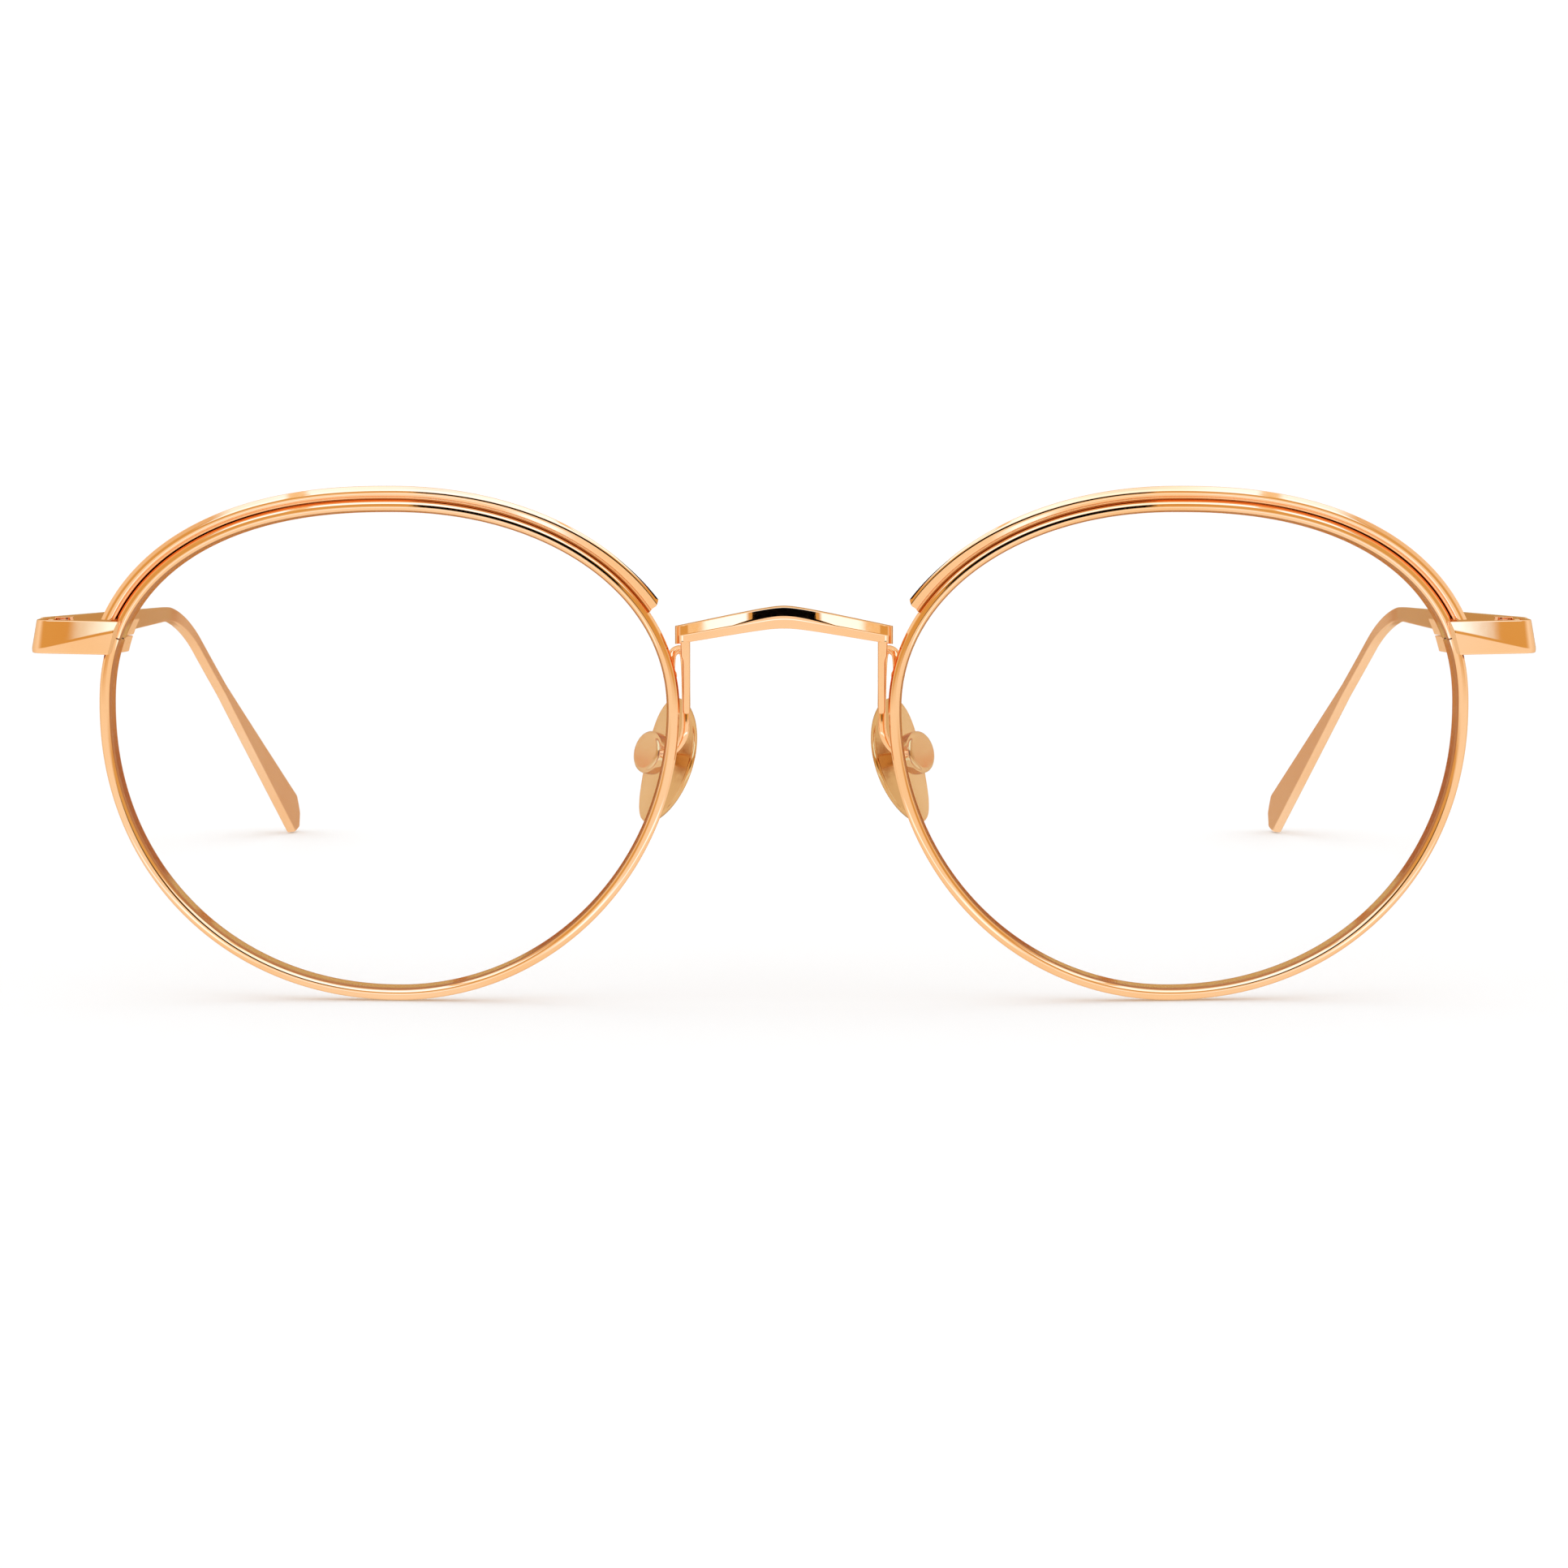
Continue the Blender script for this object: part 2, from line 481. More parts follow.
def bridge_bar_shape():
    """A bar along the hyperbola, bowed in plan, with two soft facets. Towards each end the ridge
    between them dies out, and the face is rounded back like a quarter circle. Round the middle the
    upper facet's top edge comes forward like a parabola, so that the facet is nearly upright there."""
    reach = STRAP_OUTER_X + BRIDGE_OVERHANG
    straight = reach - BRIDGE_END_ROUND
    turn = np.radians(np.linspace(0, 84, 15))[1:]
    beyond = straight + BRIDGE_END_ROUND * np.sin(turn)
    x = np.concatenate([-beyond[::-1], np.linspace(-straight, straight, 161), beyond])
    past = np.maximum(0, np.abs(x) - straight)
    rounding = BRIDGE_END_ROUND - np.sqrt(BRIDGE_END_ROUND ** 2 - past ** 2)
    share = np.abs(x) / reach
    half = (BRIDGE_CENTRE_HEIGHT + (BRIDGE_END_HEIGHT - BRIDGE_CENTRE_HEIGHT) * share) / 2
    ridge = BRIDGE_RIDGE * np.clip((reach - 0.2 - np.abs(x)) / RIDGE_FADE, 0, 1)
    middle = np.maximum(0, 1 - (x / BRIDGE_CROWN_REACH) ** 2)
    crown = BRIDGE_CROWN * middle
    bow = BRIDGE_BOW * share ** 2 - BRIDGE_BOW_AHEAD
    front = rounding - BRIDGE_THICKNESS
    corners = corner_runs(
        len(x), (half, 0), (half, front - crown + 0.12), (half * 0.92, front - crown + 0.02),
        (-half * 0.1, front - ridge), (-half * 0.92, front + 0.02), (-half, front + 0.12), (-half, 0))
    radii = np.stack(np.broadcast_arrays(0.12, 0.06, 0.06, 0.25 + 0.95 * middle, 0.06, 0.06, 0.12), -1)
    section, lean = rounded_section(corners, radii, 9)
    points = np.stack([np.broadcast_to(x[:, None], section.shape[:2]),
                       BRIDGE_BACK_Y + bow[:, None] + section[..., 1],
                       bridge_middle_z(x)[:, None] + section[..., 0]], -1)
    along = unit(np.stack([np.ones(len(x)), np.gradient(bow, x), np.gradient(bridge_middle_z(x), x)], -1))
    deep = unit(np.array([0.0, 1.0, 0.0]) - along * along[:, 1:2])
    up = np.cross(along, deep)
    up = up * np.sign(up[:, 2:])
    slope = np.gradient(rounding, x)[:, None]
    normals = lean[..., :1] * up[:, None] + lean[..., 1:] * deep[:, None]
    normals[..., 0] += np.clip(-lean[..., 1], 0, 1) * slope * np.hypot(1, slope)
    return Shape().carried(points, unit(normals))


def strap_shape():
    """A flat strap under each end of the bridge: broad at its shoulder, waisted, round at its foot."""
    top = bridge_middle_z(STRAP_TOP_X) - STRAP_SINK
    foot = LENS_CENTRE_Z - STRAP_FOOT_BELOW_CENTRE
    drop = np.concatenate([np.linspace(0, 3.2, 50), np.linspace(3.3, top - foot, 40)])
    shoulder = 0.5 * (1 + np.tanh((STRAP_SHOULDER_DROP - drop) / 0.25))
    width = STRAP_WIDTH + (STRAP_SHOULDER_WIDTH - STRAP_WIDTH) * shoulder
    middle_x = STRAP_OUTER_X - STRAP_INSET + width / 2 + 0.02
    foot_share = np.clip((top - foot - drop) / STRAP_FOOT_ROUND, 0, 1)
    half_y = (STRAP_DEPTH / 2 + 0.05 * shoulder) * (0.5 + 0.5 * np.sqrt(1 - (1 - foot_share) ** 2))
    half_x = width / 2 * (0.72 + 0.28 * np.sqrt(1 - (1 - np.clip(foot_share * 2, 0, 1)) ** 2))
    notch = STRAP_NOTCH * np.exp(-((drop - STRAP_NOTCH_DROP) / 0.22) ** 2)
    origin = np.stack([middle_x, np.full(len(drop), BRIDGE_BACK_Y + 0.02) + notch, top - drop], -1)
    return add_bar(Shape(), origin, (1, 0, 0), (0, 1, 0), oblong(half_x, half_y - notch), 0.24,
                   end_round=0.2, steps=6)


# ---------------------------------------------------------------- nose pads

PAD_CENTRE = np.array([STRAP_OUTER_X + 0.66, RIM_NASAL[1] + 7.92, LENS_CENTRE_Z - 5.5])
PAD_LENGTH, PAD_WIDTH, PAD_TAPER, PAD_THICKNESS = 11.7, 7.0, 0.12, 0.9
PAD_CURVE_RADIUS = 16.0
PAD_TILT, PAD_SPLAY, PAD_LEAN_BACK = math.radians(15.5), math.radians(37.0), 0.06
WIRE_RADIUS, WIRE_CLEAR = 0.47, 0.35
PAD_BOSS_UP, CUP_STANDOFF, CUP_DEPTH, CUP_RADIUS = 0.4, 1.2, 1.5, 1.95
PAD_UP = unit(np.array([-math.sin(PAD_TILT), PAD_LEAN_BACK, math.cos(PAD_TILT)]))
PAD_ACROSS = np.array([math.sin(PAD_SPLAY), math.cos(PAD_SPLAY), 0])
PAD_ACROSS = unit(PAD_ACROSS - PAD_UP * (PAD_ACROSS @ PAD_UP))
PAD_OUT = unit(np.cross(PAD_ACROSS, PAD_UP))


def cup_centre(height):
    return PAD_CENTRE + PAD_UP * PAD_BOSS_UP + PAD_OUT * height


def pad_shape():
    """A dished teardrop shell. Round its outline (a circle, longer than wide and wider at its top)
    the section runs over the contact side, round a soft edge and back over the hollow side."""
    turn = np.linspace(0, 2 * math.pi, 128, endpoint=False)
    along = PAD_LENGTH / 2 * np.sin(turn)
    side = PAD_WIDTH / 2 * np.cos(turn) * (1 + PAD_TAPER * np.sin(turn))
    reach = np.hypot(along, side)
    edge, rings = 0.3, 18
    share = np.sin(np.linspace(0, math.pi / 2, rings))[:, None]
    half_circle = np.linspace(-math.pi / 2, math.pi / 2, 11)[1:-1][:, None]
    inner = (reach - edge) / reach
    radial = np.concatenate([share * inner, inner + edge * np.cos(half_circle) / reach,
                             share[::-1] * inner])
    wall = 0.62
    level = np.concatenate([np.zeros((rings, 1)), edge + edge * np.sin(half_circle),
                            np.full((rings, 1), 2 * edge)])
    level = np.broadcast_to(level, radial.shape).copy()
    hollow = np.concatenate([np.zeros(rings + len(half_circle)), 1 - share[::-1, 0] ** 6])[:, None]
    level = level + (wall - 2 * edge) * hollow
    a, s = along * radial, side * radial
    sag = PAD_CURVE_RADIUS - np.sqrt(PAD_CURVE_RADIUS ** 2 - a ** 2 - s ** 2)
    height = sag + level
    points = (PAD_CENTRE + a[..., None] * PAD_UP + s[..., None] * PAD_ACROSS
              + height[..., None] * PAD_OUT)
    radial_way = unit((along / reach)[None, :, None] * PAD_UP + (side / reach)[None, :, None] * PAD_ACROSS)
    lean = np.concatenate([np.full(rings, -math.pi / 2), half_circle[:, 0],
                           np.full(rings, math.pi / 2)])
    slope = np.clip(np.hypot(a, s) / PAD_CURVE_RADIUS, 0, 0.9)
    base_out = unit(PAD_OUT - radial_way * slope[..., None])
    base_side = unit(radial_way + PAD_OUT * slope[..., None])
    normals = (np.cos(lean)[:, None, None] * base_side + np.sin(lean)[:, None, None] * base_out)
    return Shape().disc(points, unit(normals))


def pad_lug_shape():
    """The small block on the pad's back that its screw passes through."""
    base, top = cup_centre(0.45), cup_centre(PAD_THICKNESS + CUP_STANDOFF + CUP_DEPTH * 0.7)
    half = 0.58
    return add_bar(Shape(), np.linspace(base, top, 6), PAD_UP, PAD_ACROSS, oblong(half, half), 0.15,
                   end_round=0.1)


def cup_shape():
    """A cup with broad soft edges."""
    profile = soft_disc_profile(CUP_RADIUS, 0, CUP_DEPTH, 0.4)
    return add_lathe(Shape(), cup_centre(PAD_THICKNESS + CUP_STANDOFF), PAD_OUT, profile, 64)


def pad_screw_shape():
    centre = cup_centre(PAD_THICKNESS + CUP_STANDOFF + CUP_DEPTH * 0.4)
    reach = CUP_RADIUS * 0.92
    profile = soft_disc_profile(0.4, -reach, reach, 0.1)
    return add_lathe(Shape(), centre, PAD_ACROSS, profile, 32)


def smooth_line(points, count):
    """A uniform cubic B-spline with its end points tripled, sampled evenly in its own parameter."""
    control = np.concatenate([points[:1], points[:1], points, points[-1:], points[-1:]])
    spans = len(control) - 3
    t = np.linspace(0, spans - 1e-9, count)
    k = t.astype(int)
    f = (t - k)[:, None]
    weights = ((1 - f) ** 3 / 6, (3 * f ** 3 - 6 * f ** 2 + 4) / 6,
               (-3 * f ** 3 + 3 * f ** 2 + 3 * f + 1) / 6, f ** 3 / 6)
    return sum(w * control[k + i] for i, w in enumerate(weights))


def wire_frames(line):
    """Two directions square to a line, turned as little as possible from one point to the next."""
    tangent = unit(np.gradient(line, axis=0))
    first = np.cross(tangent[0], (0.2, 0.1, 1.0))
    sides = [first / np.linalg.norm(first)]
    for t in tangent[1:]:
        side = sides[-1] - t * (sides[-1] @ t)
        sides.append(side / np.linalg.norm(side))
    sides = np.array(sides)
    return sides, np.cross(tangent, sides)


def arm_shape():
    """A round wire from the rim, up over the strap's shoulder and down behind it to the cup."""
    rear = RIM_DEPTH - RIM_PROUD + SOLDER_GAP + WIRE_RADIUS
    root = rim_point(173.0, 0.15, rear)
    strap_x = STRAP_OUTER_X - 0.44
    clear_y = BRIDGE_BACK_Y + 1.0 + WIRE_RADIUS + WIRE_CLEAR
    cup_side = cup_centre(PAD_THICKNESS + CUP_STANDOFF + CUP_DEPTH * 0.6)
    end = cup_side - PAD_ACROSS * (CUP_RADIUS - 0.15) + PAD_UP * 0.25
    points = np.array([
        root + (0.05, -0.45, -0.3), root, root + (-0.1, 0.2, 1.2), root + (-0.15, 0.35, 2.1),
        (strap_x + 0.3, clear_y + 0.8, root[2] + 2.35), (strap_x + 0.1, clear_y + 1.1, root[2] + 1.4),
        (strap_x, clear_y + 0.4, root[2] - 1.2), (strap_x, clear_y, end[2] + 3.4),
        (strap_x, clear_y, end[2] + 1.7), end - PAD_ACROSS * 1.25 - PAD_OUT * 0.2 + PAD_UP * 0.15,
        end])
    line = smooth_line(points, 140)
    side, other = wire_frames(line)
    turn = np.linspace(0, 2 * math.pi, 12, endpoint=False)
    corners = 0.40 * np.stack([np.cos(turn), np.sin(turn)], -1)
    shape = add_bar(Shape(), line, side, other, corners, 0.37, steps=2)
    solder = soft_disc_profile(0.62, -0.5, 0.45, 0.42)
    return add_lathe(shape, root + (0.0, -0.3, 0.0), (0.1, 0.3, 1.0), solder, 40)


# ---------------------------------------------------------------- endpiece, lock and hinge

def endpiece_shape():
    """A flat-topped strip turned back round a small bend. Its face has a soft crease: above it the
    face falls back more steeply near the rim than at the bend, and the crease drops evenly from the
    upper part of the face near the rim to its foot at the bend."""
    middle_back = -RIM_PROUD - END_STANDOFF - END_THICKNESS / 2
    middle = rim_point(SPLIT_DEG, 0, middle_back)
    along = unit((rim_point(SPLIT_DEG, 1, middle_back) - middle) * (1, 1, 0))
    inner_x = RIM_OUTER[0] - END_LAP + 0.08
    start = np.array([inner_x, middle[1] + (inner_x - middle[0]) * along[1] / along[0], 0])
    corner = start + along * ((TEMPLE_X + END_CORNER_BEYOND - start[0]) / along[0])
    finish = np.array([TEMPLE_X, HINGE_Y - BUTT_GAP, 0])
    onward = unit(finish - corner)
    half_turn = math.acos(along @ onward) / 2
    bend = END_BEND_RADIUS
    trim = bend * math.tan(half_turn)
    left = np.array([-along[1], along[0], 0])
    centre = corner - along * trim + left * bend
    sweep = np.linspace(0, 2 * half_turn, 24)[:, None]
    arc = centre - bend * (left * np.cos(sweep) - along * np.sin(sweep))
    line = np.concatenate([np.linspace(start, corner - along * trim, 40)[:-1], arc,
                           np.linspace(corner + onward * trim, finish, 16)[1:]])
    tangent = unit(np.gradient(line, axis=0))
    outside = np.stack([tangent[:, 1], -tangent[:, 0], np.zeros(len(line))], -1)
    line[:, 2] = MID_Z
    half, tall = END_THICKNESS / 2, END_HEIGHT / 2
    outwards = np.clip((line[:, 0] - inner_x) / (TEMPLE_X - inner_x), 0, 1)
    crease = CREASE_START - CREASE_FALL * outwards
    steep = np.radians(FACE_STEEP_DEG - FACE_EASE_DEG * outwards)
    low, high = 0.08 * tall * (1 + crease), np.tan(steep) * tall * (1 - crease)
    corners = corner_runs(len(line), (-half, -tall), (half - low, -tall), (half, crease * tall),
                          (half - high, tall), (-half, tall))
    radii = np.array([0.1, 0.12, 0.9, 0.12, 0.1])
    points, normals = bar(line, outside, (0, 0, 1), corners, radii, steps=6, end_round=0.1)
    lean = np.clip(1 - (points[..., 0] - inner_x) / 3.0, 0, 1) ** 2
    points[..., 0] -= lean * END_SHEAR * (points[..., 2] - MID_Z)
    return Shape().carried(points, normals)


def lock_shape(low, high):
    """Half of the closing block behind the rim's split, which keeps to the rim's slant."""
    back = RIM_DEPTH - RIM_PROUD + LOCK_STANDOFF
    z = np.linspace(low, high, 8)
    rows = []
    for height in z:
        angle = outer_angle_at(height - LENS_CENTRE_Z)
        rows.append([rim_point(angle, LOCK_INNER, back), rim_point(angle, LOCK_OUTER, back),
                     rim_point(angle, LOCK_INNER, back + LOCK_DEPTH)])
    rows = np.array(rows)
    rows[..., 2] = z[:, None]
    origin = (rows[:, 1] + rows[:, 2]) / 2
    across, deep = rows[:, 1] - rows[:, 0], rows[:, 2] - rows[:, 0]
    half_a = np.linalg.norm(across, axis=-1) / 2
    half_b = np.linalg.norm(deep, axis=-1) / 2
    return add_bar(Shape(), origin, unit(across), unit(deep), oblong(half_a, half_b), 0.15,
                   end_round=0.08)


def add_slotted_screw(shape, x, y, foot, head, radius, head_radius):
    """A screw's shaft and its slotted head: two half-round lips with a groove between them."""
    add_lathe(shape, (x, y, 0), (0, 0, 1), soft_disc_profile(radius, foot, head + 0.05, 0.06), 32)
    add_lathe(shape, (x, y, 0), (0, 0, 1), soft_disc_profile(head_radius, head, head + 0.22, 0.06), 48)
    half = np.linspace(-math.pi / 2, math.pi / 2, 13)
    groove, lip_radius = 0.1, head_radius - 0.02
    lip = np.stack([groove + (lip_radius - groove) * np.cos(half), lip_radius * np.sin(half)], -1)
    origin = np.linspace((x, y, head + 0.1), (x, y, head + SCREW_HEAD_HEIGHT), 4)
    for corners in ((lip * (-1, 1))[::-1], lip):
        add_bar(shape, origin, (0, 1, 0), (-1, 0, 0), corners, 0.02, end_round=0.05, steps=2)
    return shape


def lock_screw_shape():
    """The closing screw, put in from below: an upright one turned over about the block's middle."""
    back = RIM_DEPTH - RIM_PROUD + LOCK_STANDOFF + LOCK_DEPTH / 2
    spot = rim_point(SPLIT_DEG, (LOCK_INNER + LOCK_OUTER) / 2, back)
    shape = add_slotted_screw(Shape(), spot[0], spot[1], END_LOW + 0.6, END_HIGH - SCREW_HEAD_HEIGHT,
                              PIN_RADIUS, LOCK_HEAD_RADIUS)
    for points in shape.points:
        points[:, 2] = 2 * MID_Z - points[:, 2]
    shape.faces, normals = turned_over(shape.faces, np.concatenate(shape.normals) * (1, 1, -1))
    shape.normals = [normals]
    return shape


def hinge_screw_shape():
    return add_slotted_screw(Shape(), HINGE_X, HINGE_Y, END_LOW, END_HIGH - HEAD_SINK + 0.02,
                             PIN_RADIUS, SCREW_HEAD_RADIUS)


def add_ring(shape, x, y, low, high, outer, inner, edge=0.08):
    """A round-edged tube about an upright axis: a rounded rectangle carried round a circle."""
    turn = np.linspace(0, 2 * math.pi, 48, endpoint=False)
    out = np.stack([np.cos(turn), np.sin(turn), np.zeros(48)], -1)
    origin = out * (outer + inner) / 2 + (x, y, (low + high) / 2)
    corners = oblong((outer - inner) / 2, (high - low) / 2)
    return add_bar(shape, origin, out, (0, 0, 1), corners, edge, wrap=True, steps=4)


def add_slab(shape, low, high, edge):
    """A round-edged box between two corners, carried along its longest side."""
    low, high = np.asarray(low, float), np.asarray(high, float)
    size = high - low
    order = [int(np.argmax(size))]
    order += [k for k in range(3) if k != order[0]]
    axes = np.eye(3)[order]
    if np.dot(np.cross(axes[1], axes[2]), axes[0]) < 0:
        axes[1:] = axes[:0:-1]
        order[1:] = order[:0:-1]
    middle = (low + high) / 2
    reach = np.linspace(-0.5, 0.5, 5)[:, None] * size[order[0]] * axes[0]
    a, b = size[order[1]] / 2, size[order[2]] / 2
    soft = min(edge, 0.9 * min(a, b))
    return add_bar(shape, middle + reach, axes[1], axes[2], oblong(a, b), soft, end_round=soft)


LEAF_FACE_X = TEMPLE_X - END_THICKNESS / 2 - SOLDER_GAP
KNUCKLE = END_HEIGHT / 3


def front_leaf_shape():
    """Two knuckles with a web each, on a plate inside the endpiece's leg."""
    shape = Shape()
    for low, high in ((END_LOW, END_LOW + KNUCKLE - HINGE_GAP),
                      (END_HIGH - KNUCKLE + HINGE_GAP, END_HIGH - HEAD_SINK)):
        add_ring(shape, HINGE_X, HINGE_Y, low, high, HINGE_RADIUS, PIN_RADIUS + 0.03)
        add_slab(shape, (LEAF_FACE_X - LEAF_THICKNESS, HINGE_Y - 2.6, low + 0.01),
                 (LEAF_FACE_X - 0.01, HINGE_Y - 0.02, high - 0.01), 0.06)
    return add_slab(shape, (LEAF_FACE_X - LEAF_THICKNESS, HINGE_Y - 2.65, END_LOW + 0.01),
                    (LEAF_FACE_X, HINGE_Y - 1.17, END_HIGH - 0.01), 0.1)


def temple_leaf_shape():
    """The middle knuckle with its web, on a plate inside the temple."""
    shape = Shape()
    low, high = END_LOW + KNUCKLE, END_HIGH - KNUCKLE
    add_ring(shape, HINGE_X, HINGE_Y, low, high, HINGE_RADIUS, PIN_RADIUS + 0.07)
    far_y = HINGE_Y + LEAF_LENGTH
    face = temple_inner_x(far_y) - SOLDER_GAP
    back = face - LEAF_THICKNESS
    add_slab(shape, (back, HINGE_Y + 0.02, low + 0.01), (face - 0.01, far_y - 0.2, high - 0.01), 0.06)
    return add_slab(shape, (back, HINGE_Y + 1.2, END_LOW + 0.36), (face, far_y, END_HIGH - 0.36), 0.12)


# ---------------------------------------------------------------- temple

TEMPLE_THICKNESS, TEMPLE_NECK_HEIGHT, TEMPLE_TIP_HEIGHT, TIP_CHAMFER = 1.02, 1.5, 5.1, 1.5
TEMPLE_STRAIGHT, EAR_BEND_RADIUS, NECK_LENGTH = 96.0, 23.4, 23.0
TEMPLE_SLOPE, TEMPLE_DROP = math.radians(2.75), math.radians(35.7)
TEMPLE_TAPER_IN, TIP_SWING, SWING_SOFTNESS = 0.0025, 0.258, 5.5


def temple_inner_x(y):
    return TEMPLE_X - TEMPLE_TAPER_IN * (y - HINGE_Y) - TEMPLE_THICKNESS / 2


def temple_shape():
    """A flat strip along a line, an arc and a line in side view, which swings in as a hyperbola
    behind the ear bend; its height falls to the neck and grows to the tip with its cut corners."""
    start_y = HINGE_Y + BUTT_GAP
    bend_y = start_y + TEMPLE_STRAIGHT * math.cos(TEMPLE_SLOPE)
    bend_z = MID_Z - TEMPLE_STRAIGHT * math.sin(TEMPLE_SLOPE)
    centre_y = bend_y - EAR_BEND_RADIUS * math.sin(TEMPLE_SLOPE)
    centre_z = bend_z - EAR_BEND_RADIUS * math.cos(TEMPLE_SLOPE)
    end_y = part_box("left_temple")[1].y / MM - SHIFT[1]
    arc = EAR_BEND_RADIUS * (TEMPLE_DROP - TEMPLE_SLOPE)
    drop_y = centre_y + EAR_BEND_RADIUS * math.sin(TEMPLE_DROP)
    drop_z = centre_z + EAR_BEND_RADIUS * math.cos(TEMPLE_DROP)
    lower_corner = (TEMPLE_TIP_HEIGHT / 2 - TIP_CHAMFER) * math.sin(TEMPLE_DROP)
    length = (end_y - lower_corner - drop_y) / math.cos(TEMPLE_DROP)
    total = TEMPLE_STRAIGHT + arc + length - 0.05
    run = np.concatenate([np.linspace(0, TEMPLE_STRAIGHT, 60)[:-1],
                          np.linspace(TEMPLE_STRAIGHT, TEMPLE_STRAIGHT + arc, 60)[:-1],
                          np.linspace(TEMPLE_STRAIGHT + arc, total - 0.01, 80)])
    pitch = TEMPLE_SLOPE + np.clip((run - TEMPLE_STRAIGHT) / EAR_BEND_RADIUS, 0,
                                   TEMPLE_DROP - TEMPLE_SLOPE)
    before = np.minimum(run, TEMPLE_STRAIGHT)
    after = np.maximum(run - TEMPLE_STRAIGHT - arc, 0)
    in_arc = run > TEMPLE_STRAIGHT
    y = np.where(in_arc, centre_y + EAR_BEND_RADIUS * np.sin(pitch) + after * np.cos(pitch),
                 start_y + before * math.cos(TEMPLE_SLOPE))
    z = np.where(in_arc, centre_z + EAR_BEND_RADIUS * np.cos(pitch) - after * np.sin(pitch),
                 MID_Z - before * math.sin(TEMPLE_SLOPE))
    behind = np.maximum(0, y - bend_y)
    swung = TIP_SWING * (np.hypot(behind, SWING_SOFTNESS) - SWING_SOFTNESS)
    x = TEMPLE_X - TEMPLE_TAPER_IN * (y - HINGE_Y) - swung
    origin = np.stack([x, y, z], -1)
    along = unit(np.gradient(origin, axis=0))
    upright = np.stack([np.zeros(len(run)), np.sin(pitch), np.cos(pitch)], -1)
    side = unit(np.cross(along, upright))
    up = unit(np.cross(side, along))
    height = END_HEIGHT + (TEMPLE_NECK_HEIGHT - END_HEIGHT) * np.minimum(1, run / TEMPLE_STRAIGHT)
    broad_from = TEMPLE_STRAIGHT + NECK_LENGTH
    height = height + ((TEMPLE_TIP_HEIGHT - TEMPLE_NECK_HEIGHT)
                       * np.maximum(0, run - broad_from) / (total - broad_from))
    height = height - 2 * np.maximum(0, run - (total - TIP_CHAMFER)) - 0.02
    return add_bar(Shape(), origin, side, up, oblong(TEMPLE_THICKNESS / 2, height / 2), 0.18,
                   end_round=0.12, steps=6)


# ---------------------------------------------------------------- materials

def new_material(name):
    material = bpy.data.materials.new(name)
    material.use_nodes = True
    nodes, links = material.node_tree.nodes, material.node_tree.links
    return material, nodes, links, nodes["Principled BSDF"]


def noise(nodes, links, scale, detail, stretch=(1, 1, 1)):
    """Noise on the piece's own coordinates; scale is in waves per metre."""
    place = nodes.new("ShaderNodeTexCoord")
    mapping = nodes.new("ShaderNodeMapping")
    mapping.inputs["Scale"].default_value = stretch
    texture = nodes.new("ShaderNodeTexNoise")
    texture.inputs["Scale"].default_value = scale
    texture.inputs["Detail"].default_value = detail
    links.new(place.outputs["Object"], mapping.inputs["Vector"])
    links.new(mapping.outputs["Vector"], texture.inputs["Vector"])
    return texture.outputs["Fac"]


def ramp(nodes, links, source, stops):
    node = nodes.new("ShaderNodeValToRGB")
    elements = node.color_ramp.elements
    elements.remove(elements[-1])
    elements[0].position = stops[0][0]
    elements[0].color = (*stops[0][1], 1)
    for position, colour in stops[1:]:
        elements.new(position).color = (*colour, 1)
    links.new(source, node.inputs["Fac"])
    return node.outputs["Color"]


def mixed(nodes, links, share, first, second):
    """The first colour's output turned into the second, an output or a plain colour, by a share."""
    node = nodes.new("ShaderNodeMix")
    node.data_type = "RGBA"
    links.new(share, node.inputs["Factor"])
    links.new(first, node.inputs[6])
    if isinstance(second, tuple):
        node.inputs[7].default_value = (*second, 1)
    else:
        links.new(second, node.inputs[7])
    return node.outputs[2]


def rose_gold(name, tone=(0.98, 0.60, 0.34), deep=(0.95, 0.53, 0.25), rough=0.045, wave=0.02,
              wall=None):
    """Polished plated metal: a slow drift in its tone, hair-fine polishing marks in its gloss, and
    the faint waviness that a buffing wheel leaves. A wall colour shades the rim's inner wall, whose
    points carry a share of it, as the lens and the wall mirror each other there."""
    material, nodes, links, shader = new_material(name)
    shader.inputs["Metallic"].default_value = 1.0
    tone_map = ramp(nodes, links, noise(nodes, links, 60, 2), [(0.35, deep), (0.65, tone)])
    if wall:
        recess = nodes.new("ShaderNodeAttribute")
        recess.attribute_name = "wall"
        tone_map = mixed(nodes, links, recess.outputs["Fac"], tone_map, wall)
    links.new(tone_map, shader.inputs["Base Color"])
    marks = ramp(nodes, links, noise(nodes, links, 2600, 4, (1, 0.15, 1)),
                 [(0.3, (rough * 0.7,) * 3), (0.75, (rough * 1.8,) * 3)])
    links.new(marks, shader.inputs["Roughness"])
    bump = nodes.new("ShaderNodeBump")
    bump.inputs["Strength"].default_value = wave
    bump.inputs["Distance"].default_value = 0.0002
    links.new(noise(nodes, links, 420, 2), bump.inputs["Height"])
    links.new(bump.outputs["Normal"], shader.inputs["Normal"])
    return material


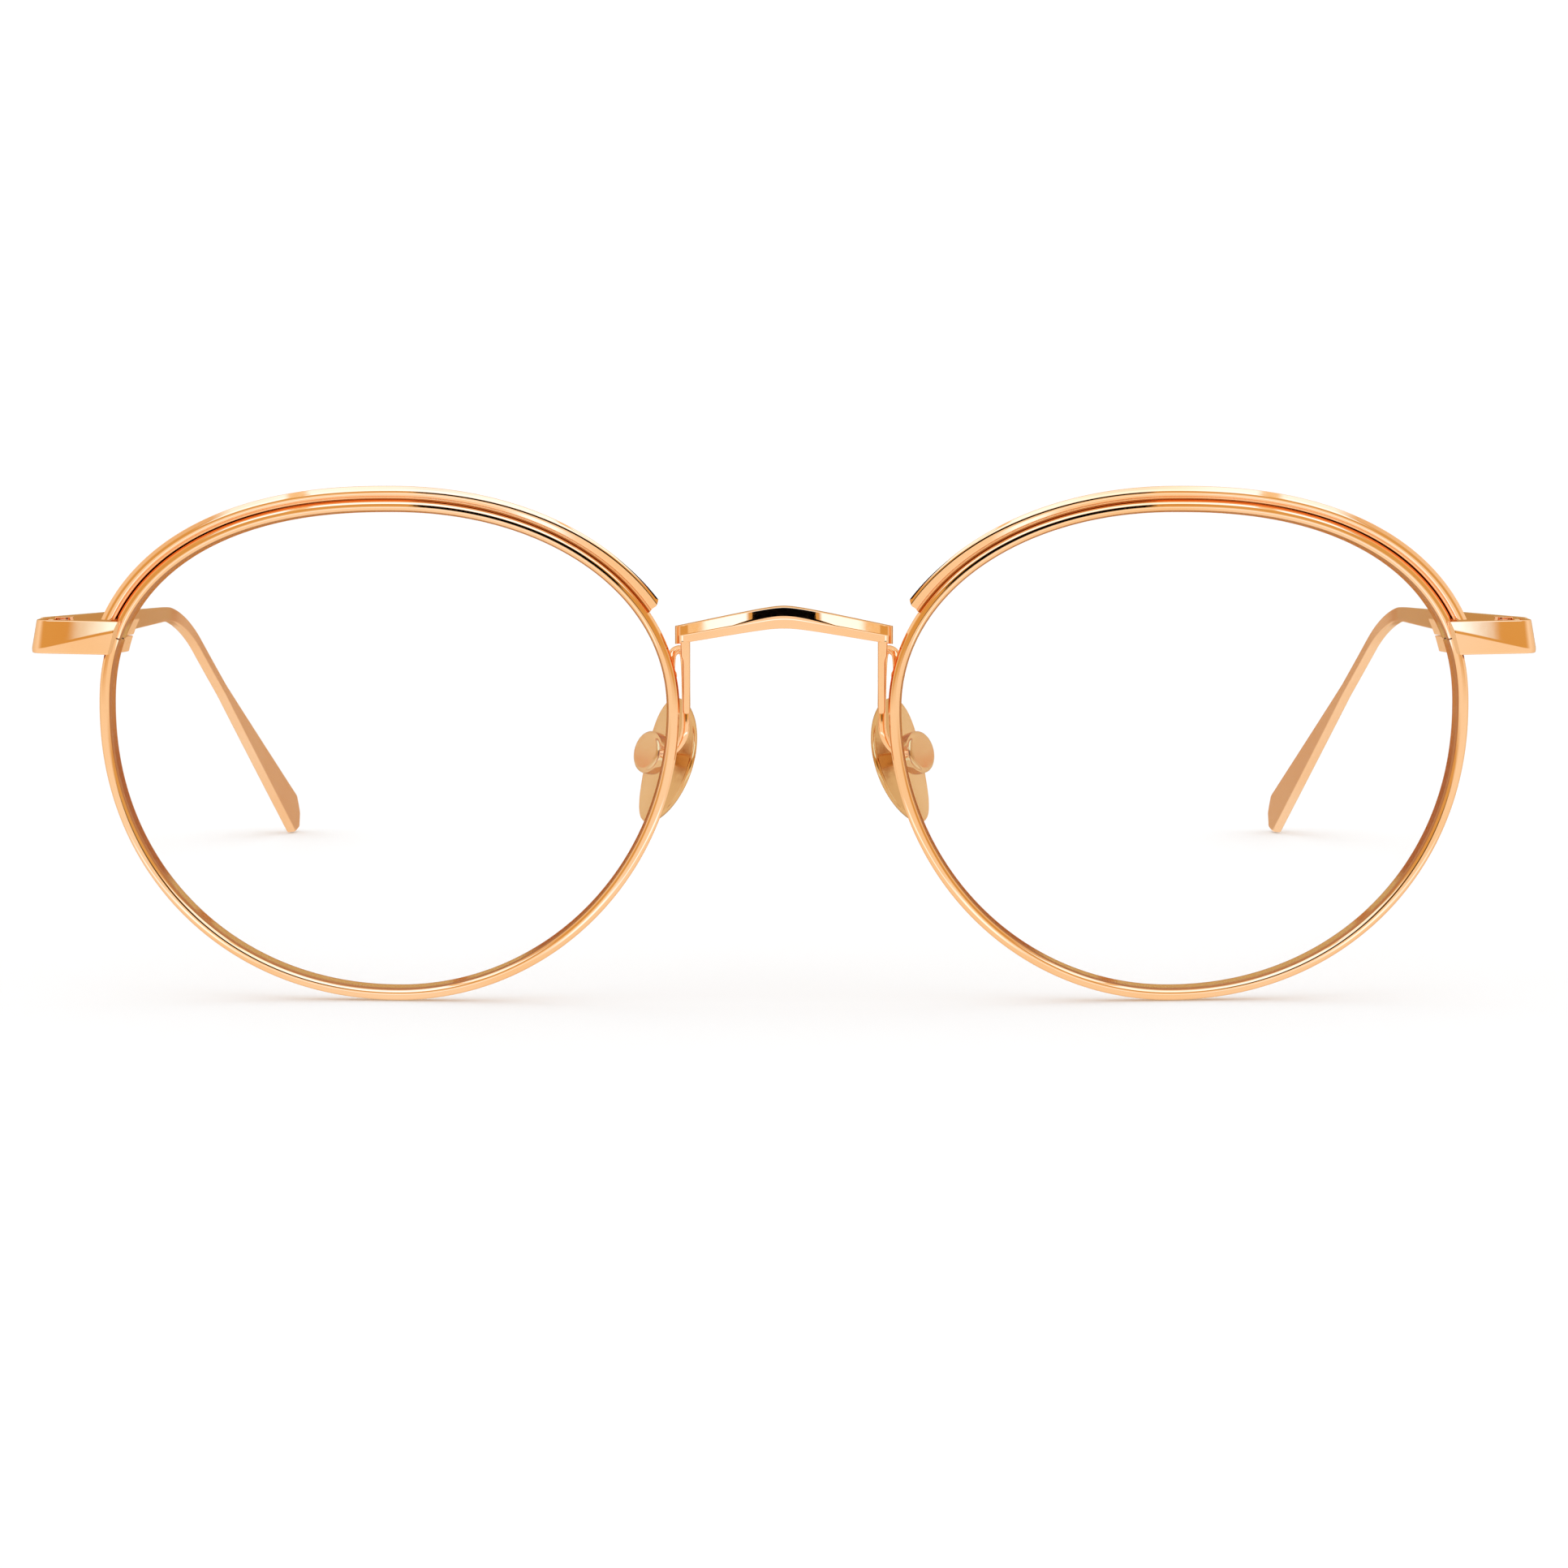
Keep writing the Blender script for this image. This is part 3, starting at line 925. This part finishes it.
def clear_lens(name):
    """Clear resin that shows as a thin veil with a sharp gloss; its coating drifts a little in tint."""
    material, nodes, links, shader = new_material(name)
    tint = ramp(nodes, links, noise(nodes, links, 18, 1),
                [(0.3, (0.98, 0.99, 1.0)), (0.7, (1.0, 0.99, 0.98))])
    links.new(tint, shader.inputs["Base Color"])
    gloss = ramp(nodes, links, noise(nodes, links, 900, 2), [(0.3, (0.0,) * 3), (0.8, (0.02,) * 3)])
    links.new(gloss, shader.inputs["Roughness"])
    shader.inputs["IOR"].default_value = 1.5
    shader.inputs["Alpha"].default_value = 0.03
    return material


# ---------------------------------------------------------------- pieces

GOLD = rose_gold("polished_rose_gold")
RIM_GOLD = rose_gold("rim_rose_gold", wall=(0.50, 0.17, 0.03))
PAD_GOLD = rose_gold("pad_rose_gold", tone=(0.78, 0.46, 0.20), deep=(0.68, 0.38, 0.14), rough=0.12,
                     wave=0.03)
SCREW_GOLD = rose_gold("screw_rose_gold", tone=(0.94, 0.55, 0.32), deep=(0.88, 0.47, 0.25), rough=0.1)
LENS = clear_lens("clear_lens_resin")


def both_sides(name, maker, material, body, slot, nodes):
    """The same shape on the wearer's left and, mirrored, on the right."""
    for side in ("left", "right"):
        own_body = body.replace("SIDE", side)
        maker().piece(f"{side}_{name}_show", side == "right", material, own_body, slot,
                      [f"{side}_{node}" for node in nodes])


both_sides("eyewire", eyewire_shape, RIM_GOLD, "front", "gold", ["eyewire"])
both_sides("brow_bar", brow_shape, GOLD, "front", "gold", ["brow_bar"])
both_sides("lens", lens_shape, LENS, "front", "lens", ["lens"])
bridge_bar_shape().piece("bridge_bar", False, GOLD, "front", "gold", ["bridge"])
both_sides("bridge_strap", strap_shape, GOLD, "front", "gold", [])
both_sides("nose_pad", pad_shape, PAD_GOLD, "SIDE_pad", "gold", ["nose_pad"])
both_sides("pad_lug", pad_lug_shape, PAD_GOLD, "SIDE_pad", "gold", [])
both_sides("pad_cup", cup_shape, PAD_GOLD, "front", "gold", ["pad_cup"])
both_sides("pad_screw", pad_screw_shape, SCREW_GOLD, "front", "screw", ["pad_screw"])
both_sides("pad_arm", arm_shape, GOLD, "front", "gold", ["pad_arm"])
both_sides("endpiece", endpiece_shape, GOLD, "front", "gold", ["endpiece"])
both_sides("rim_lock_upper", lambda: lock_shape(MID_Z + 0.05, END_HIGH), GOLD, "front", "gold",
           ["rim_lock_upper"])
both_sides("rim_lock_lower", lambda: lock_shape(END_LOW, MID_Z - 0.05), GOLD, "front", "gold",
           ["rim_lock_lower"])
both_sides("rim_lock_screw", lock_screw_shape, SCREW_GOLD, "front", "screw", ["rim_lock_screw"])
both_sides("hinge_leaf", front_leaf_shape, GOLD, "front", "gold", ["hinge_leaf"])
both_sides("hinge_screw", hinge_screw_shape, SCREW_GOLD, "front", "screw", ["hinge_screw"])
both_sides("temple_leaf", temple_leaf_shape, GOLD, "SIDE_temple", "gold", ["temple_leaf"])
both_sides("temple", temple_shape, GOLD, "SIDE_temple", "gold", ["temple"])


# ---------------------------------------------------------------- studio

def studio_sheet(name, corners, material_name, grey, rough, gloss, unseen_by):
    """A flat, matt sheet that belongs to the studio and that the named kinds of ray don't see."""
    mesh = bpy.data.meshes.new(name)
    mesh.from_pydata(corners, [], [(0, 1, 2, 3)])
    sheet = placed(name, mesh)
    material, nodes, links, shader = new_material(material_name)
    shader.inputs["Base Color"].default_value = (grey, grey, grey, 1)
    shader.inputs["Roughness"].default_value = rough
    shader.inputs["Specular IOR Level"].default_value = gloss
    mesh.materials.append(material)
    for ray in unseen_by:
        setattr(sheet, f"visible_{ray}", False)


def studio_floor():
    """A wide, plain, pale floor that the glasses stand on."""
    reach = 6.0
    corners = [(-reach, -reach, 0), (reach, -reach, 0), (reach, reach, 0), (-reach, reach, 0)]
    studio_sheet("studio_floor", corners, "pale_floor", 0.93, 0.9, 0.1, ["glossy"])


def dark_card():
    """The dark camera side of the studio, which only shows in reflections."""
    across, low, high, away = 0.20, 0.03, 0.42, -1.0
    corners = [(-across, away, low), (across, away, low), (across, away, high), (-across, away, high)]
    studio_sheet("camera_side_card", corners, "camera_side_dark", 0.0, 1.0, 0.0,
                 ["camera", "shadow", "diffuse"])


def studio_dome():
    """A white room to the camera and to matt things. Polished metal sees more of it: a broad soft box
    above and in front, a bright strip on the floor before it, warm dimmer walls and a dim back."""
    world = bpy.data.worlds.new("studio_white")
    bpy.context.scene.world = world
    world.use_nodes = True
    nodes, links = world.node_tree.nodes, world.node_tree.links
    plain = nodes["Background"]
    plain.inputs["Color"].default_value = (1, 1, 1, 1)
    plain.inputs["Strength"].default_value = 1.12
    place = nodes.new("ShaderNodeTexCoord")
    split = nodes.new("ShaderNodeSeparateXYZ")
    links.new(place.outputs["Generated"], split.inputs["Vector"])
    height = nodes.new("ShaderNodeMapRange")
    height.inputs["From Min"].default_value = -1.0
    links.new(split.outputs["Z"], height.inputs["Value"])
    white, peach, tan = (0.40, 0.62, 0.95), (0.345, 0.345, 0.335), (0.25, 0.17, 0.06)
    cream = (0.33, 0.29, 0.20)
    ahead = ramp(nodes, links, height.outputs["Result"], [
        (0.0, peach), (0.23, peach), (0.255, white), (0.28, white), (0.305, peach), (0.46, peach),
        (0.53, tan), (1.0, tan)])
    aside = nodes.new("ShaderNodeMath")
    aside.operation = "ABSOLUTE"
    links.new(split.outputs["X"], aside.inputs[0])
    boxes = ramp(nodes, links, aside.outputs[0], [
        (0.0, white), (0.35, white), (0.365, cream), (0.40, cream), (0.415, white), (0.56, white),
        (0.62, tan)])
    box_height = ramp(nodes, links, height.outputs["Result"], [
        (0.71, (0, 0, 0)), (0.735, (1, 1, 1)), (0.95, (1, 1, 1)), (0.975, (0, 0, 0))])
    lit = mixed(nodes, links, box_height, ahead, boxes)
    behind = ramp(nodes, links, split.outputs["Y"], [
        (0.1, peach), (0.84, (0.287, 0.247, 0.177)), (0.93, (0.187, 0.105, 0.035))])
    facing = nodes.new("ShaderNodeMapRange")
    facing.interpolation_type = "SMOOTHSTEP"
    facing.inputs["From Min"].default_value = -0.55
    facing.inputs["From Max"].default_value = 0.1
    links.new(split.outputs["Y"], facing.inputs["Value"])
    shown = nodes.new("ShaderNodeBackground")
    shown.inputs["Strength"].default_value = 3.0
    links.new(mixed(nodes, links, facing.outputs["Result"], lit, behind), shown.inputs["Color"])
    path = nodes.new("ShaderNodeLightPath")
    either = nodes.new("ShaderNodeMixShader")
    links.new(path.outputs["Is Glossy Ray"], either.inputs["Fac"])
    links.new(plain.outputs["Background"], either.inputs[1])
    links.new(shown.outputs["Background"], either.inputs[2])
    links.new(either.outputs["Shader"], nodes["World Output"].inputs["Surface"])


def studio():
    studio_dome()
    studio_floor()
    dark_card()


def camera():
    """The camera stands half a metre before the front, a little above the lenses, looking down."""
    data = bpy.data.cameras.new("view")
    data.sensor_width = 36.0
    data.lens = 128.4
    cam = placed("view", data)
    distance, height, fall = 500.0, 67.9, 48.6
    cam.location = tuple((np.array([0, -distance, height]) + SHIFT) * MM)
    cam.rotation_mode = "XYZ"
    cam.rotation_euler = (math.pi / 2 - math.atan2(fall, distance), 0, 0)
    data.clip_start, data.clip_end = 0.01, 50.0
    bpy.context.scene.camera = cam


camera()
studio()
bpy.context.scene.view_settings.view_transform = "Standard"
